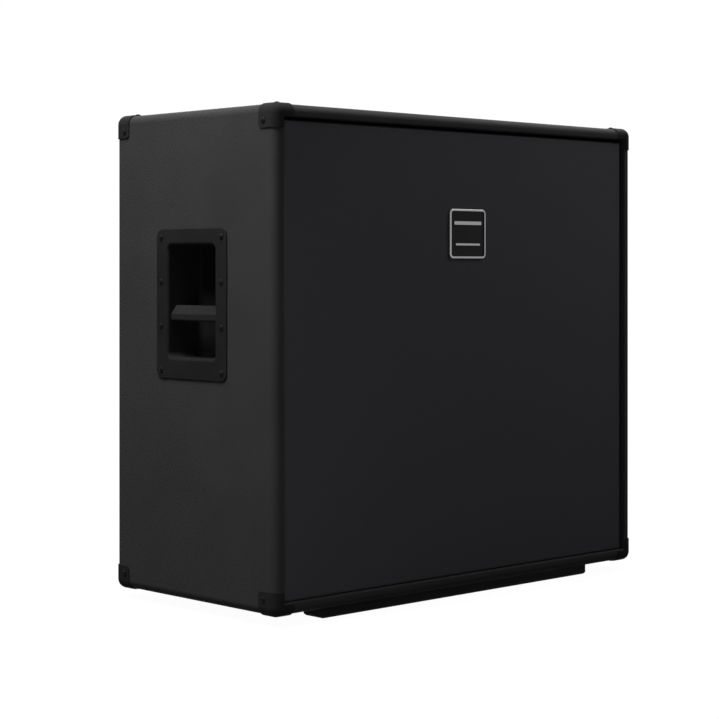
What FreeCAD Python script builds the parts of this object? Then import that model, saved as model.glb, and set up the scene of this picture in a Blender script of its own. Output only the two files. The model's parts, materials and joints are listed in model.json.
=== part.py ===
import FreeCAD, Part
import math
import os

# A closed-back guitar speaker cabinet with four 12-inch drivers, in millimetres.
# The front faces -Y, +X is to the right as seen from the front and +Z is up.
# The origin is on the floor, under the middle of the cabinet.

V = FreeCAD.Vector
X_AXIS, Y_AXIS, Z_AXIS = V(1, 0, 0), V(0, 1, 0), V(0, 0, 1)

# Clearances
seat_ease = 0.4          # a rounded edge inside a cover has this much more radius
fit_gap = 0.2            # between a board or tenon and its housing
hole_gap = 0.1           # between a screw's shank and its pilot hole
run_gap = 0.3            # between pieces that move past each other

# Box of plywood panels with a glued covering
covering_t = 1.0
panel_t = 15.0
cabinet_depth = 356.0
edge_radius = 12.0       # outer edges, over the covering
mouth_radius = 2.0       # inner edges of the front and rear mouths, over the covering
tuck_gap = 0.8           # from the covering's folded edge to the baffle or to the rear cleats
finger_pitch = 25.0      # width of one finger of the corner joints
housing_depth = 6.0      # groove that holds the baffle
baffle_t = 18.0

# Drivers: the box is sized around them
speaker_diameter = 309.0
speaker_gap_x = 31.0     # between the two columns of drivers
speaker_gap_z = 9.0      # between the two rows
side_margin = 40.5       # from a driver to the side panel
end_margin = 16.5        # from a driver to the top or bottom panel
rim_width = 20.5         # basket rim, from its outer edge to its inner edge
gasket_width = 13.0
gasket_t = 3.0
bolt_inset = 6.0         # bolt circle, from the outer edge of the rim
bolts_per_speaker = 8
sheet_steel_t = 2.0
basket_depth = 57.0      # from the rim to the spider shelf
basket_windows = 8
window_angle = 32.0
window_margin = 7.0      # steel left at each end of a window
shelf_width = 12.0
can_radius = 60.0        # inside of the basket's cylindrical bottom
can_depth = 22.0
cone_depth = 51.0
cone_t = 1.0
surround_width = 6.5     # rolled edge between the cone and the rim
surround_t = 0.6
surround_rolls = 2
roll_height = 1.2
dust_cap_radius = 36.0
dust_cap_height = 11.0
dust_cap_t = 0.8
coil_radius = 22.0       # inside of the voice coil's tube
coil_tube_t = 0.5
winding_t = 0.7
winding_height = 14.0
coil_overhang = 8.0      # tube below the front plate
gap_ease = 0.6           # air on each side of the voice coil
spider_t = 0.6
spider_rolls = 5
spider_roll_height = 1.6
spider_landing = 8.0
front_plate_radius = 70.0
front_plate_t = 8.0
magnet_radius = 78.0
magnet_bore_radius = 35.0
magnet_t = 20.0
yoke_t = 8.0
terminal_width = 24.0
terminal_height = 14.0
terminal_t = 3.0
tag_width = 6.0
tag_length = 10.0
tag_t = 0.8
tag_spacing = 13.0

# Fixings of the drivers
bolt_radius = 2.4
bolt_head_radius = 4.5
bolt_head_t = 4.0
bolt_grip = 14.0         # length of the bolt inside the baffle
flange_hole_radius = 3.0
nut_barrel_radius = 3.4
nut_barrel_length = 10.0
nut_flange_radius = 8.0
nut_flange_t = 1.2

# Grille: a cloth-covered frame held by hook and loop pads
grille_setback = 6.0
grille_gap = 2.5         # beside the grille
grille_rest_gap = 0.5    # under the grille, which sits low in the mouth
cloth_t = 0.8
cloth_fold = 18.0        # cloth turned over on the back of the frame
grille_frame_t = 12.0
grille_rail_width = 40.0
grille_stile_width = 50.0
grille_edge_radius = 3.2
pad_t = 1.5
pad_length = 50.0
pad_width = 16.0

# Badge on the grille
badge_width = 77.0
badge_height = 73.0
badge_below_top = 172.2  # its middle, below the top of the cabinet
badge_plate_t = 1.8
badge_corner_radius = 7.0
badge_rim_width = 3.0
badge_rim_t = 3.4
badge_rib_t = 1.2
badge_rib_spacing = 31.5 # between the middles of the two ribs
badge_upper_rib_length = 58.0
badge_upper_rib_height = 5.0
badge_lower_rib_length = 52.0
badge_lower_rib_height = 3.0
badge_rib_round = 1.2    # corners of the ribs
badge_pin_radius = 1.2
badge_pin_length = 6.0

# Rear panel
rear_panel_t = 15.0
rear_setback = 14.0
rear_gap = 1.0           # all round, to the mouth
rear_covering_t = 0.8
cleat_size = 18.0
post_size = 45.0
rear_screws_x = 5        # along the top and along the bottom
rear_screws_z = 3        # along each side, between the corners

# Side handles
handle_width = 156.0
handle_height = 213.0
handle_flange_t = 2.0
handle_corner_radius = 12.0
handle_side_border = 25.5   # flange beside the opening
handle_end_border = 26.5    # flange above and below the opening, where the opening has no lift
handle_opening_lift = 3.5   # middle of the opening, above the middle of the flange
handle_opening_radius = 8.0
handle_lip_radius = 4.0     # rounded edge from the flange into the opening
handle_middle = 418.5       # middle of the flange, above the underside of the cabinet
handle_depth = 62.0
handle_wall = 2.5
handle_back_radius = 6.0    # inside, between the back and the walls
handle_bar_height = 22.0
handle_bar_depth = 22.0
handle_bar_front = 10.0     # upright lower part of the bar's front
handle_bar_slope = 10.0     # depth of the slope above it
handle_bar_round = 2.5      # edges of the bar
handle_bar_drop = 16.7      # bar below the middle of the opening
handle_bar_inset = 15.0     # axis of the bar behind the side of the cabinet
handle_tenon_radius = 6.0
handle_cut_gap = 1.0
handle_screw_edge = 11.0    # screws from the flange's long edge
handle_screw_end = 12.0     # first and last screw from the flange's short edge
handle_screws_per_side = 4

# Corner protectors
corner_leg = 33.0
corner_t = 1.6
corner_lobe_radius = 6.0
corner_screw_inset = 23.0

# Skids under the cabinet
skid_height = 15.0
skid_depth = 40.0
skid_inset = 99.0        # from the sides of the cabinet
skid_setback = 13.0      # from the front and rear of the cabinet
skid_chamfer = 2.5
skid_screw_count = 4
skid_screw_end = 40.0
skid_screw_grip = 8.0    # wood between a screw's head and the cabinet

# Input plate
jack_plate_width = 104.0
jack_plate_height = 74.0
jack_plate_t = 1.6
jack_plate_corner_radius = 5.0
jack_plate_drop = 112.0  # middle of the plate, below the middle of the panel
jack_cut_width = 72.0
jack_cut_height = 46.0
jack_spacing = 46.0
jack_bore_radius = 3.25
jack_bore_depth = 30.0
jack_bush_radius = 5.5
jack_bush_length = 5.0   # outside the plate
jack_body_radius = 10.0
jack_body_length = 32.0
jack_nut_across = 14.0
jack_nut_t = 2.5
jack_screw_inset = 9.0
switch_body_width = 12.0
switch_body_height = 20.0
switch_body_depth = 12.0
switch_bush_radius = 3.4
switch_bush_bore = 2.7
switch_bush_length = 5.0
switch_pivot_depth = 5.0 # below the mouth of the bush
lever_radius = 1.1
lever_tip_radius = 2.0
lever_barrel_radius = 2.0
lever_barrel_length = 2.6
lever_length = 14.0
lever_tilt = 12.0        # to each side of the middle

# Wood screws: radius of head, height of head, radius of shank, length under the head
trim_screw = {"head": 4.2, "rise": 2.2, "shank": 1.8, "length": 11.0}
panel_screw = {"head": 4.8, "rise": 2.6, "shank": 2.2, "length": 30.0}
skid_screw = {"head": 4.8, "rise": 2.6, "shank": 2.2, "length": 17.0}
recess_width = 1.1
recess_depth = 1.2
recess_share = 0.62      # arm of the cross, as a share of the head's radius
screw_tip = 3.0

# Cables from the input plate to the drivers
cable_radius = 2.2
cable_spacing = 6.0
cable_bend_share = 0.45

# What follows from the sizes above
wall = covering_t + panel_t
mouth_wall = wall + covering_t
frame_r = speaker_diameter / 2
cabinet_width = 2 * (wall + side_margin + speaker_diameter) + speaker_gap_x
cabinet_height = 2 * (wall + end_margin + speaker_diameter) + speaker_gap_z
half_w, half_d = cabinet_width / 2, cabinet_depth / 2
base_z, top_z = skid_height, skid_height + cabinet_height
mid_z = (base_z + top_z) / 2
front_y, rear_y = -half_d, half_d
speaker_x = (speaker_diameter + speaker_gap_x) / 2
speaker_z = (speaker_diameter + speaker_gap_z) / 2

cloth_front = front_y + grille_setback
grille_front = cloth_front + cloth_t
grille_rear = grille_front + grille_frame_t
baffle_front = grille_rear + 2 * pad_t
baffle_rear = baffle_front + baffle_t
mouth_x = half_w - mouth_wall
mouth_z = cabinet_height / 2 - mouth_wall
cloth_x, cloth_z = mouth_x - grille_gap, mouth_z - grille_gap
grille_mid = mid_z + grille_rest_gap - grille_gap
grille_x, grille_z = cloth_x - cloth_t, cloth_z - cloth_t

rear_outer = rear_y - rear_setback
rear_face = rear_outer - rear_covering_t
rear_inner = rear_face - rear_panel_t
jack_z = mid_z - jack_plate_drop
jack_plate_outer = rear_outer + jack_plate_t

gasket_r = frame_r - gasket_width
rim_inner_r = frame_r - rim_width
bolt_circle_r = frame_r - bolt_inset
cone_rim_r = rim_inner_r - surround_width
coil_outer_r = coil_radius + coil_tube_t
shelf_y = gasket_t + basket_depth
can_outer_r = can_radius + sheet_steel_t
shelf_r = can_radius + shelf_width
seat_y = shelf_y + can_depth + sheet_steel_t
magnet_y = seat_y + front_plate_t
yoke_y = magnet_y + magnet_t
neck_y = gasket_t + cone_depth

handle_opening_width = handle_width - 2 * handle_side_border
handle_opening_height = handle_height - 2 * handle_end_border
handle_z = base_z + handle_middle
handle_opening_z = handle_z + handle_opening_lift
handle_bar_z = handle_opening_z - handle_bar_drop
dish_half_w = handle_opening_width / 2 + handle_wall
dish_half_h = handle_opening_height / 2 + handle_wall

skid_half = half_w - skid_inset
SPEAKERS = {
    "upper_left": (-1, 1),
    "upper_right": (1, 1),
    "lower_left": (-1, -1),
    "lower_right": (1, -1),
}
nodes = {}


# Shared shapes
def block(x0, x1, y0, y1, z0, z1):
    return Part.makeBox(x1 - x0, y1 - y0, z1 - z0, V(x0, y0, z0))


def rod(radius, start, end):
    return Part.makeCylinder(radius, (end - start).Length, start, end - start)


def outward(shape):
    if shape.Volume < 0:
        shape.reverse()
    return shape


def turned(edges, centre=Y_AXIS):
    """A solid turned about an axis through the origin, from the edges of its half section."""
    return outward(Part.Face(Part.Wire(edges)).revolve(V(), centre, 360))


def outline(points):
    """Straight edges round a half section given as (radius, y)."""
    corners = [V(radius, y, 0) for radius, y in points]
    return [Part.makeLine(a, b) for a, b in zip(corners, corners[1:] + corners[:1])]


def ring(inner, outer, y0, y1):
    return turned(outline([(inner, y0), (outer, y0), (outer, y1), (inner, y1)]))


def rounded(shape, radius, axis):
    """Rounds every straight edge that runs along an axis."""
    edges = [e for e in shape.Edges if abs(abs(e.tangentAt(e.FirstParameter).dot(axis)) - 1) < 1e-6]
    return shape.makeFillet(radius, edges)


def placed(shape, at, direction):
    """A copy with its own +Z turned to a direction and its origin moved to a point."""
    copy = shape.copy()
    copy.Placement = FreeCAD.Placement(at, FreeCAD.Rotation(Z_AXIS, direction))
    return copy


def cut_all(shape, tools):
    return shape.cut(Part.makeCompound(tools)) if tools else shape


def across(length, count):
    """Evenly spaced places from -length / 2 to length / 2."""
    return [length * (i / (count - 1) - 0.5) for i in range(count)]


def mirrored(shape, axis, point=V()):
    return shape.mirror(point, axis)


# Screws
def wood_screw(size):
    """Origin under the head, head towards +Z, with a cross recess."""
    head, rise, shank, length = size["head"], size["rise"], size["shank"], size["length"]
    brim = 0.3 * rise
    below = [V(head, 0, brim), V(head, 0, 0), V(shank, 0, 0), V(shank, 0, screw_tip - length)]
    path = below + [V(0, 0, -length), V(0, 0, rise)]
    edges = [Part.makeLine(a, b) for a, b in zip(path, path[1:])]
    crown = V(0.6 * head, 0, brim + 0.76 * (rise - brim))
    edges.append(Part.Arc(path[-1], crown, path[0]).toShape())
    arm = recess_share * head
    floor = rise - recess_depth
    half = recess_width / 2
    cross = block(-arm, arm, -half, half, floor, 2 * rise)
    cross = cross.fuse(block(-half, half, -arm, arm, floor, 2 * rise))
    return turned(edges, Z_AXIS).cut(cross)


def screws_at(size, places):
    screw = wood_screw(size)
    return [placed(screw, at, direction) for at, direction in places]


def pilot_holes(size, places):
    reach = size["length"] + hole_gap
    radius = size["shank"] + hole_gap
    return [rod(radius, at, at - direction * reach) for at, direction in places]


def handle_screw_places():
    seat_x = half_w + handle_flange_t
    offset_y = handle_width / 2 - handle_screw_edge
    rows = across(handle_height - 2 * handle_screw_end, handle_screws_per_side)
    return [
        (V(side * seat_x, edge * offset_y, handle_z + row), V(side, 0, 0))
        for side in (-1, 1)
        for edge in (-1, 1)
        for row in rows
    ]


def corner_screw_places():
    places = []
    for side in (-1, 1):
        for end in (-1, 1):
            for level in (-1, 1):
                y = end * (half_d - corner_screw_inset)
                inset_x = side * (half_w - corner_screw_inset)
                inset_z = mid_z + level * (cabinet_height / 2 - corner_screw_inset)
                seat_z = mid_z + level * (cabinet_height / 2 + corner_t)
                places.append((V(side * (half_w + corner_t), y, inset_z), V(side, 0, 0)))
                places.append((V(inset_x, y, seat_z), V(0, 0, level)))
    return places


def skid_screw_places():
    middle_y = half_d - skid_setback - skid_depth / 2
    return [
        (V(x, end * middle_y, skid_height - skid_screw_grip), V(0, 0, -1))
        for end in (-1, 1)
        for x in across(2 * (skid_half - skid_screw_end), skid_screw_count)
    ]


def rear_screw_places():
    reach_x = half_w - wall - cleat_size / 2
    reach_z = cabinet_height / 2 - wall - cleat_size / 2
    places = [(x, level * reach_z) for level in (-1, 1) for x in across(2 * reach_x, rear_screws_x)]
    heights = across(2 * reach_z, rear_screws_z + 2)[1:-1]
    places += [(side * reach_x, z) for side in (-1, 1) for z in heights]
    places.append((0, 0))
    return [(V(x, rear_outer, mid_z + z), Y_AXIS) for x, z in places]


def jack_screw_places():
    reach_x = jack_plate_width / 2 - jack_screw_inset
    reach_z = jack_plate_height / 2 - jack_screw_inset
    return [
        (V(side * reach_x, jack_plate_outer, jack_z + level * reach_z), Y_AXIS)
        for side in (-1, 1)
        for level in (-1, 1)
    ]


# Box
def cabinet_block(inset, radius):
    shape = block(
        inset - half_w, half_w - inset, front_y + inset, rear_y - inset, base_z + inset, top_z - inset
    )
    return shape.makeFillet(radius, shape.Edges)


def through_block(inset, y0, y1):
    """A block as large as the cabinet less an inset on its four sides."""
    return block(inset - half_w, half_w - inset, y0, y1, base_z + inset, top_z - inset)


def mouth_rounding(inset, face, radius):
    """Cutters that round the inner edges of both mouths: inset of the wall, depth of its edge."""
    cutters = []
    x, z = half_w - inset, cabinet_height / 2 - inset
    for end in (-1, 1):
        y0 = end * (half_d - face)
        y1 = y0 - end * radius
        for sign in (-1, 1):
            edge = mid_z + sign * z
            centre = edge + sign * radius
            bar = block(-x, x, min(y0, y1), max(y0, y1), min(edge, centre), max(edge, centre))
            cutters.append(bar.cut(rod(radius, V(-half_w, y1, centre), V(half_w, y1, centre))))
            edge = sign * x
            centre = edge + sign * radius
            low, high = mid_z - z, mid_z + z
            bar = block(min(edge, centre), max(edge, centre), min(y0, y1), max(y0, y1), low, high)
            cutters.append(bar.cut(rod(radius, V(centre, y1, base_z), V(centre, y1, top_z))))
    return cutters


def handle_cutters():
    """Openings in both sides for the handle dishes."""
    half_y, half_h = dish_half_w + handle_cut_gap, dish_half_h + handle_cut_gap
    inner = half_w - wall - panel_t
    shape = block(
        inner, half_w + wall, -half_y, half_y, handle_opening_z - half_h, handle_opening_z + half_h
    )
    shape = rounded(shape, handle_opening_radius + handle_wall, X_AXIS)
    return [shape, mirrored(shape, X_AXIS)]


def fingers(parity):
    """Every second finger of the four corner joints, over the whole depth of the box."""
    count = max(3, round(cabinet_depth / finger_pitch))
    width = cabinet_depth / count
    return [
        block(min(x, x + side * wall), max(x, x + side * wall), y, y + width, z, z + wall)
        for side, x in ((1, -half_w), (-1, half_w))
        for z in (base_z, top_z - wall)
        for y in [front_y + i * width for i in range(parity, count, 2)]
    ]


def make_box():
    frame = cabinet_block(covering_t, edge_radius - covering_t + seat_ease)
    frame = frame.cut(through_block(wall, front_y, rear_y))
    frame = frame.cut(through_block(wall - housing_depth, baffle_front, baffle_rear))
    frame = cut_all(frame, mouth_rounding(wall, covering_t, mouth_radius - covering_t + seat_ease))
    holes = pilot_holes(trim_screw, handle_screw_places() + corner_screw_places())
    holes += pilot_holes(skid_screw, skid_screw_places())
    frame = cut_all(cut_all(frame, handle_cutters()), holes)
    inner_x = half_w - wall
    sides = {"left_side_panel": (-half_w, -inner_x), "right_side_panel": (inner_x, half_w)}
    for name, (x0, x1) in sides.items():
        board = frame.common(block(x0, x1, front_y, rear_y, base_z, top_z))
        nodes[name] = [cut_all(board, fingers(1))]
    levels = {"bottom_panel": (base_z, base_z + wall), "top_panel": (top_z - wall, top_z)}
    for name, (z0, z1) in levels.items():
        board = frame.common(block(-half_w, half_w, front_y, rear_y, z0, z1))
        nodes[name] = [cut_all(board, fingers(0))]


def make_covering():
    skin = cabinet_block(0, edge_radius)
    hollow = cabinet_block(covering_t, edge_radius - covering_t)
    hollow = hollow.cut(through_block(wall, front_y, rear_y))
    hollow = cut_all(hollow, mouth_rounding(wall, covering_t, mouth_radius - covering_t))
    skin = skin.cut(hollow).cut(through_block(mouth_wall, front_y, rear_y))
    skin = skin.cut(through_block(wall, baffle_front - tuck_gap, rear_inner + tuck_gap))
    skin = cut_all(skin, mouth_rounding(mouth_wall, 0, mouth_radius))
    holes = pilot_holes(trim_screw, handle_screw_places() + corner_screw_places())
    holes += pilot_holes(skid_screw, skid_screw_places())
    nodes["vinyl_covering"] = [cut_all(cut_all(skin, handle_cutters()), holes)]


def speaker_centres():
    return {name: V(x * speaker_x, baffle_rear, mid_z + z * speaker_z) for name, (x, z) in SPEAKERS.items()}


def bolt_angles():
    step = 2 * math.pi / bolts_per_speaker
    return [step * (i + 0.5) for i in range(bolts_per_speaker)]


def bolt_offsets():
    return [V(bolt_circle_r * math.cos(a), 0, bolt_circle_r * math.sin(a)) for a in bolt_angles()]


def make_baffle():
    inset = wall - housing_depth + fit_gap
    board = through_block(inset, baffle_front, baffle_rear)
    front = V(0, -baffle_t, 0)
    openings = [rod(gasket_r, c + front, c) for c in speaker_centres().values()]
    bolts = [
        rod(nut_barrel_radius + hole_gap, c + offset + front, c + offset)
        for c in speaker_centres().values()
        for offset in bolt_offsets()
    ]
    nodes["baffle_board"] = [cut_all(cut_all(board, openings), bolts)]


def make_rear():
    x, z = mouth_x - rear_gap, mouth_z - rear_gap
    half_x, half_z = jack_cut_width / 2, jack_cut_height / 2
    tools = [block(-half_x, half_x, rear_inner, rear_outer, jack_z - half_z, jack_z + half_z)]
    tools += pilot_holes(trim_screw, jack_screw_places())
    tools += pilot_holes(panel_screw, rear_screw_places())
    panel = block(-x, x, rear_inner, rear_face, mid_z - z, mid_z + z)
    skin = block(-x, x, rear_face, rear_outer, mid_z - z, mid_z + z)
    nodes["rear_panel"] = [cut_all(panel, tools)]
    nodes["rear_panel_covering"] = [cut_all(skin, tools)]

    front = rear_inner - cleat_size
    x, z = half_w - wall, cabinet_height / 2 - wall
    cleats = []
    for sign in (-1, 1):
        z0, z1 = sorted((mid_z + sign * z, mid_z + sign * (z - cleat_size)))
        cleats.append(block(-x, x, front, rear_inner, z0, z1))
        x0, x1 = sorted((sign * x, sign * (x - cleat_size)))
        cleats.append(block(x0, x1, front, rear_inner, mid_z - z + cleat_size, mid_z + z - cleat_size))
    holes = pilot_holes(panel_screw, rear_screw_places())
    nodes["rear_cleats"] = [cut_all(cleat, holes) for cleat in cleats]
    half = post_size / 2
    post = block(-half, half, baffle_rear, rear_inner, mid_z - half, mid_z + half)
    nodes["centre_post"] = [cut_all(post, holes)]
    nodes["rear_panel_screws"] = screws_at(panel_screw, rear_screw_places())


# Handles
def make_handles():
    side = -half_w
    face = side - handle_flange_t
    half_y, half_h = handle_width / 2, handle_height / 2
    flange = block(face, side, -half_y, half_y, handle_z - half_h, handle_z + half_h)
    flange = rounded(flange, handle_corner_radius, X_AXIS)
    outer_edges = [e for e in flange.Edges if abs(e.CenterOfMass.x - face) < 1e-6]
    flange = flange.makeFillet(handle_flange_t / 2, outer_edges)

    low, high = handle_opening_z - dish_half_h, handle_opening_z + dish_half_h
    back = side + handle_depth
    dish = block(side, back, -dish_half_w, dish_half_w, low, high)
    dish = rounded(dish, handle_opening_radius + handle_wall, X_AXIS)
    dish = round_back(dish, back, handle_back_radius + handle_wall)
    wide, tall = handle_opening_width / 2, handle_opening_height / 2
    hollow = block(
        face, back - handle_wall, -wide, wide, handle_opening_z - tall, handle_opening_z + tall
    )
    hollow = rounded(hollow, handle_opening_radius, X_AXIS)
    hollow = round_back(hollow, back - handle_wall, handle_back_radius)
    axis_x = side + handle_bar_inset
    tenon = dish_half_w
    hole_end = V(axis_x, 2 * tenon, handle_bar_z)
    pin_hole = rod(handle_tenon_radius + hole_gap, hole_end - Y_AXIS * (4 * tenon), hole_end)
    shell = flange.fuse(dish).removeSplitter().cut(hollow)
    lip = [e for e in face_edges(shell, face) if abs(e.CenterOfMass.y) < dish_half_w]
    shell = shell.makeFillet(handle_lip_radius, lip).cut(pin_hole)
    shell = cut_all(shell, pilot_holes(trim_screw, handle_screw_places()))

    half = wide - fit_gap
    bar = bar_profile(half).translated(V(axis_x, 0, handle_bar_z))
    pin = rod(handle_tenon_radius, V(axis_x, -tenon, handle_bar_z), V(axis_x, tenon, handle_bar_z))
    bar = bar.fuse(pin).removeSplitter()
    for name, piece in {"handle_dish": shell, "handle_bar": bar}.items():
        nodes["left_" + name] = [piece]
        nodes["right_" + name] = [mirrored(piece, X_AXIS)]
    nodes["handle_screws"] = screws_at(trim_screw, handle_screw_places())


def bar_profile(half):
    """A bar along Y with an upright lower front, a slope above it and rounded edges."""
    depth, height = handle_bar_depth / 2, handle_bar_height / 2
    section = [
        V(-depth, -half, -height),
        V(-depth, -half, handle_bar_front - height),
        V(handle_bar_slope - depth, -half, height),
        V(depth, -half, height),
        V(depth, -half, -height),
    ]
    face = Part.Face(Part.makePolygon(section + section[:1]))
    return rounded(outward(face.extrude(Y_AXIS * (2 * half))), handle_bar_round, Y_AXIS)


def face_edges(shape, x):
    """Edges that lie in a plane across X."""
    return [
        e for e in shape.Edges if abs(e.BoundBox.XMin - x) < 1e-6 and abs(e.BoundBox.XMax - x) < 1e-6
    ]


def round_back(shape, x, radius):
    """Rounds the edges round the inner end of a handle dish."""
    return shape.makeFillet(radius, face_edges(shape, x))


# Corner protectors
def make_corners():
    leg = corner_leg
    x0, x1 = half_w - leg, half_w + corner_t
    y0, y1 = front_y - corner_t, front_y + leg
    z0, z1 = top_z - leg, top_z + corner_t
    cap = block(x0, x1, y0, y1, z0, z1)
    outer = [e for e in cap.Edges if on_two(e, x1, y0, z1)]
    cap = cap.makeFillet(edge_radius + corner_t, outer)
    lobes = block(x0, x1 + leg, y0 - leg, y1, z0, z1 + leg)
    lobes = lobes.makeFillet(corner_lobe_radius, [e for e in lobes.Edges if on_two(e, x0, y1, z0)])
    cap = cap.common(lobes).cut(cabinet_block(0, edge_radius - seat_ease))
    reveal = mouth_wall - mouth_radius
    cap = cap.cut(through_block(reveal, 2 * front_y, rear_y))
    caps = {"front": [], "rear": []}
    middle = V(0, 0, mid_z)
    for name, row in caps.items():
        first = cap if name == "front" else mirrored(cap, Y_AXIS)
        for shape in (first, mirrored(first, X_AXIS)):
            row += [shape, mirrored(shape, Z_AXIS, middle)]
    holes = pilot_holes(trim_screw, corner_screw_places())
    for name, row in caps.items():
        nodes[name + "_corner_protectors"] = [cut_all(shape, holes) for shape in row]
    nodes["corner_screws"] = screws_at(trim_screw, corner_screw_places())


def on_two(edge, x, y, z):
    """Whether an edge lies on at least two of three given planes."""
    box = edge.BoundBox
    planes = ((box.XMin, box.XMax, x), (box.YMin, box.YMax, y), (box.ZMin, box.ZMax, z))
    return sum(abs(low - at) < 1e-6 and abs(high - at) < 1e-6 for low, high, at in planes) >= 2


# Skids
def make_skids():
    y0 = front_y + skid_setback
    runner = block(-skid_half, skid_half, y0, y0 + skid_depth, 0, skid_height)
    low_edges = [e for e in runner.Edges if e.BoundBox.ZMax < 1e-6]
    runner = runner.makeChamfer(skid_chamfer, low_edges)
    places = skid_screw_places()
    sink = skid_screw["head"] + fit_gap
    wells = [rod(sink, V(at.x, at.y, 0), at) for at, direction in places]
    for name, shape in (("front_skid", runner), ("rear_skid", mirrored(runner, Y_AXIS))):
        nodes[name] = [cut_all(cut_all(shape, wells), pilot_holes(skid_screw, places))]
    nodes["skid_screws"] = screws_at(skid_screw, places)


# Input plate
def make_input_plate():
    x, z = jack_plate_width / 2, jack_plate_height / 2
    plate = block(-x, x, rear_outer, jack_plate_outer, jack_z - z, jack_z + z)
    plate = rounded(plate, jack_plate_corner_radius, Y_AXIS)
    jacks, nuts, holes = [], [], []
    outer = jack_plate_outer + jack_bush_length
    for side in (-1, 1):
        at = V(side * jack_spacing / 2, 0, jack_z)
        bush = rod(jack_bush_radius, at + Y_AXIS * rear_outer, at + Y_AXIS * outer)
        body = rod(jack_body_radius, at + Y_AXIS * (rear_outer - jack_body_length), at + Y_AXIS * rear_outer)
        bore = rod(jack_bore_radius, at + Y_AXIS * (outer - jack_bore_depth), at + Y_AXIS * outer)
        jacks.append(bush.fuse(body).removeSplitter().cut(bore))
        hole = rod(jack_bush_radius + hole_gap, at + Y_AXIS * rear_inner, at + Y_AXIS * rear_y)
        holes.append(hole)
        nut = hexagon(jack_nut_across, jack_nut_t, at + Y_AXIS * jack_plate_outer)
        nuts.append(nut.cut(hole))
    middle = V(0, 0, jack_z)
    mouth = jack_plate_outer + switch_bush_length
    hole = rod(switch_bush_radius + hole_gap, middle + Y_AXIS * rear_inner, middle + Y_AXIS * rear_y)
    half_x, half_z = switch_body_width / 2, switch_body_height / 2
    body = block(
        -half_x, half_x, rear_outer - switch_body_depth, rear_outer, jack_z - half_z, jack_z + half_z
    )
    bush = rod(switch_bush_radius, middle + Y_AXIS * rear_outer, middle + Y_AXIS * mouth)
    pivot = middle + Y_AXIS * (mouth - switch_pivot_depth)
    well = lever_barrel_radius + run_gap
    bore = rod(switch_bush_bore, pivot - Y_AXIS * well, middle + Y_AXIS * mouth)
    nodes["selector_switch"] = [body.fuse(bush).removeSplitter().cut(bore)]
    nut_across = 2 * switch_bush_radius + jack_nut_across - 2 * jack_bush_radius
    nuts.append(hexagon(nut_across, jack_nut_t, middle + Y_AXIS * jack_plate_outer).cut(hole))
    plate = cut_all(plate, holes + [hole] + pilot_holes(trim_screw, jack_screw_places()))
    nodes["jack_plate"] = [plate]
    nodes["input_jacks"] = jacks
    nodes["jack_nuts"] = nuts
    nodes["jack_plate_screws"] = screws_at(trim_screw, jack_screw_places())
    make_lever(pivot)


def hexagon(across_flats, thickness, at):
    radius = across_flats / math.sqrt(3)
    turn = math.pi / 3
    corners = [
        at + V(radius * math.cos(turn * i), 0, radius * math.sin(turn * i)) for i in range(6)
    ]
    face = Part.Face(Part.makePolygon(corners + corners[:1]))
    return outward(face.extrude(Y_AXIS * thickness))


def make_lever(pivot):
    """The lever leans down at rest and swings up about X."""
    tip = lever_length - lever_tip_radius
    half = X_AXIS * (lever_barrel_length / 2)
    stem = Part.makeCone(lever_radius, lever_tip_radius, tip)
    stem = stem.fuse(Part.makeSphere(lever_tip_radius, Z_AXIS * tip))
    stem.rotate(V(), X_AXIS, -90 - lever_tilt)
    lever = rod(lever_barrel_radius, -half, half).fuse(stem)
    nodes["selector_lever"] = [lever.translated(pivot)]


# Grille
def grille_envelope(x, z, y0, y1, radius):
    """A flat block with its front edges rounded."""
    shape = block(-x, x, y0, y1, grille_mid - z, grille_mid + z)
    return shape.makeFillet(radius, [e for e in shape.Edges if abs(e.BoundBox.YMax - y0) < 1e-6])


def make_grille():
    envelope = grille_envelope(grille_x, grille_z, grille_front, grille_rear, grille_edge_radius + seat_ease)
    inner_z = grille_z - grille_rail_width
    low, high = grille_mid - inner_z, grille_mid + inner_z
    pieces = []
    for sign in (-1, 1):
        z0, z1 = sorted((grille_mid + sign * grille_z, grille_mid + sign * inner_z))
        pieces.append(block(-grille_x, grille_x, grille_front, grille_rear, z0, z1))
        x0, x1 = sorted((sign * grille_x, sign * (grille_x - grille_rail_width)))
        pieces.append(block(x0, x1, grille_front, grille_rear, low, high))
    half = grille_stile_width / 2
    pieces.append(block(-half, half, grille_front, grille_rear, low, high))
    pins = badge_pins(hole_gap)
    nodes["grille_frame"] = [cut_all(piece.common(envelope), pins) for piece in pieces]

    radius = grille_edge_radius + cloth_t
    cloth = grille_envelope(cloth_x, cloth_z, cloth_front, grille_rear + cloth_t, radius)
    cloth = cloth.cut(
        grille_envelope(grille_x, grille_z, grille_front, grille_rear, grille_edge_radius)
    )
    fold_x, fold_z = grille_x - cloth_fold, grille_z - cloth_fold
    cloth = cloth.cut(
        block(-fold_x, fold_x, grille_rear, baffle_front, grille_mid - fold_z, grille_mid + fold_z)
    )
    nodes["grille_cloth"] = [cut_all(cloth, pins)]
    for name, y in (("loop_pads", grille_rear), ("hook_pads", grille_rear + pad_t)):
        nodes[name] = [
            block(x - a, x + a, y, y + pad_t, z - b, z + b) for x, z, a, b in pad_places()
        ]


def pad_places():
    """Middle and half sizes of each pad, seen from the front."""
    long, short = pad_length / 2, pad_width / 2
    edge = (grille_rail_width + cloth_fold) / 2
    x, z = grille_x - edge, grille_z - edge
    end = grille_x - grille_rail_width - long
    levels = (grille_mid - z, grille_mid + z)
    rows = [(column, level, long, short) for level in levels for column in (-end, 0, end)]
    return rows + [(side * x, grille_mid, short, long) for side in (-1, 1)]


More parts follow.
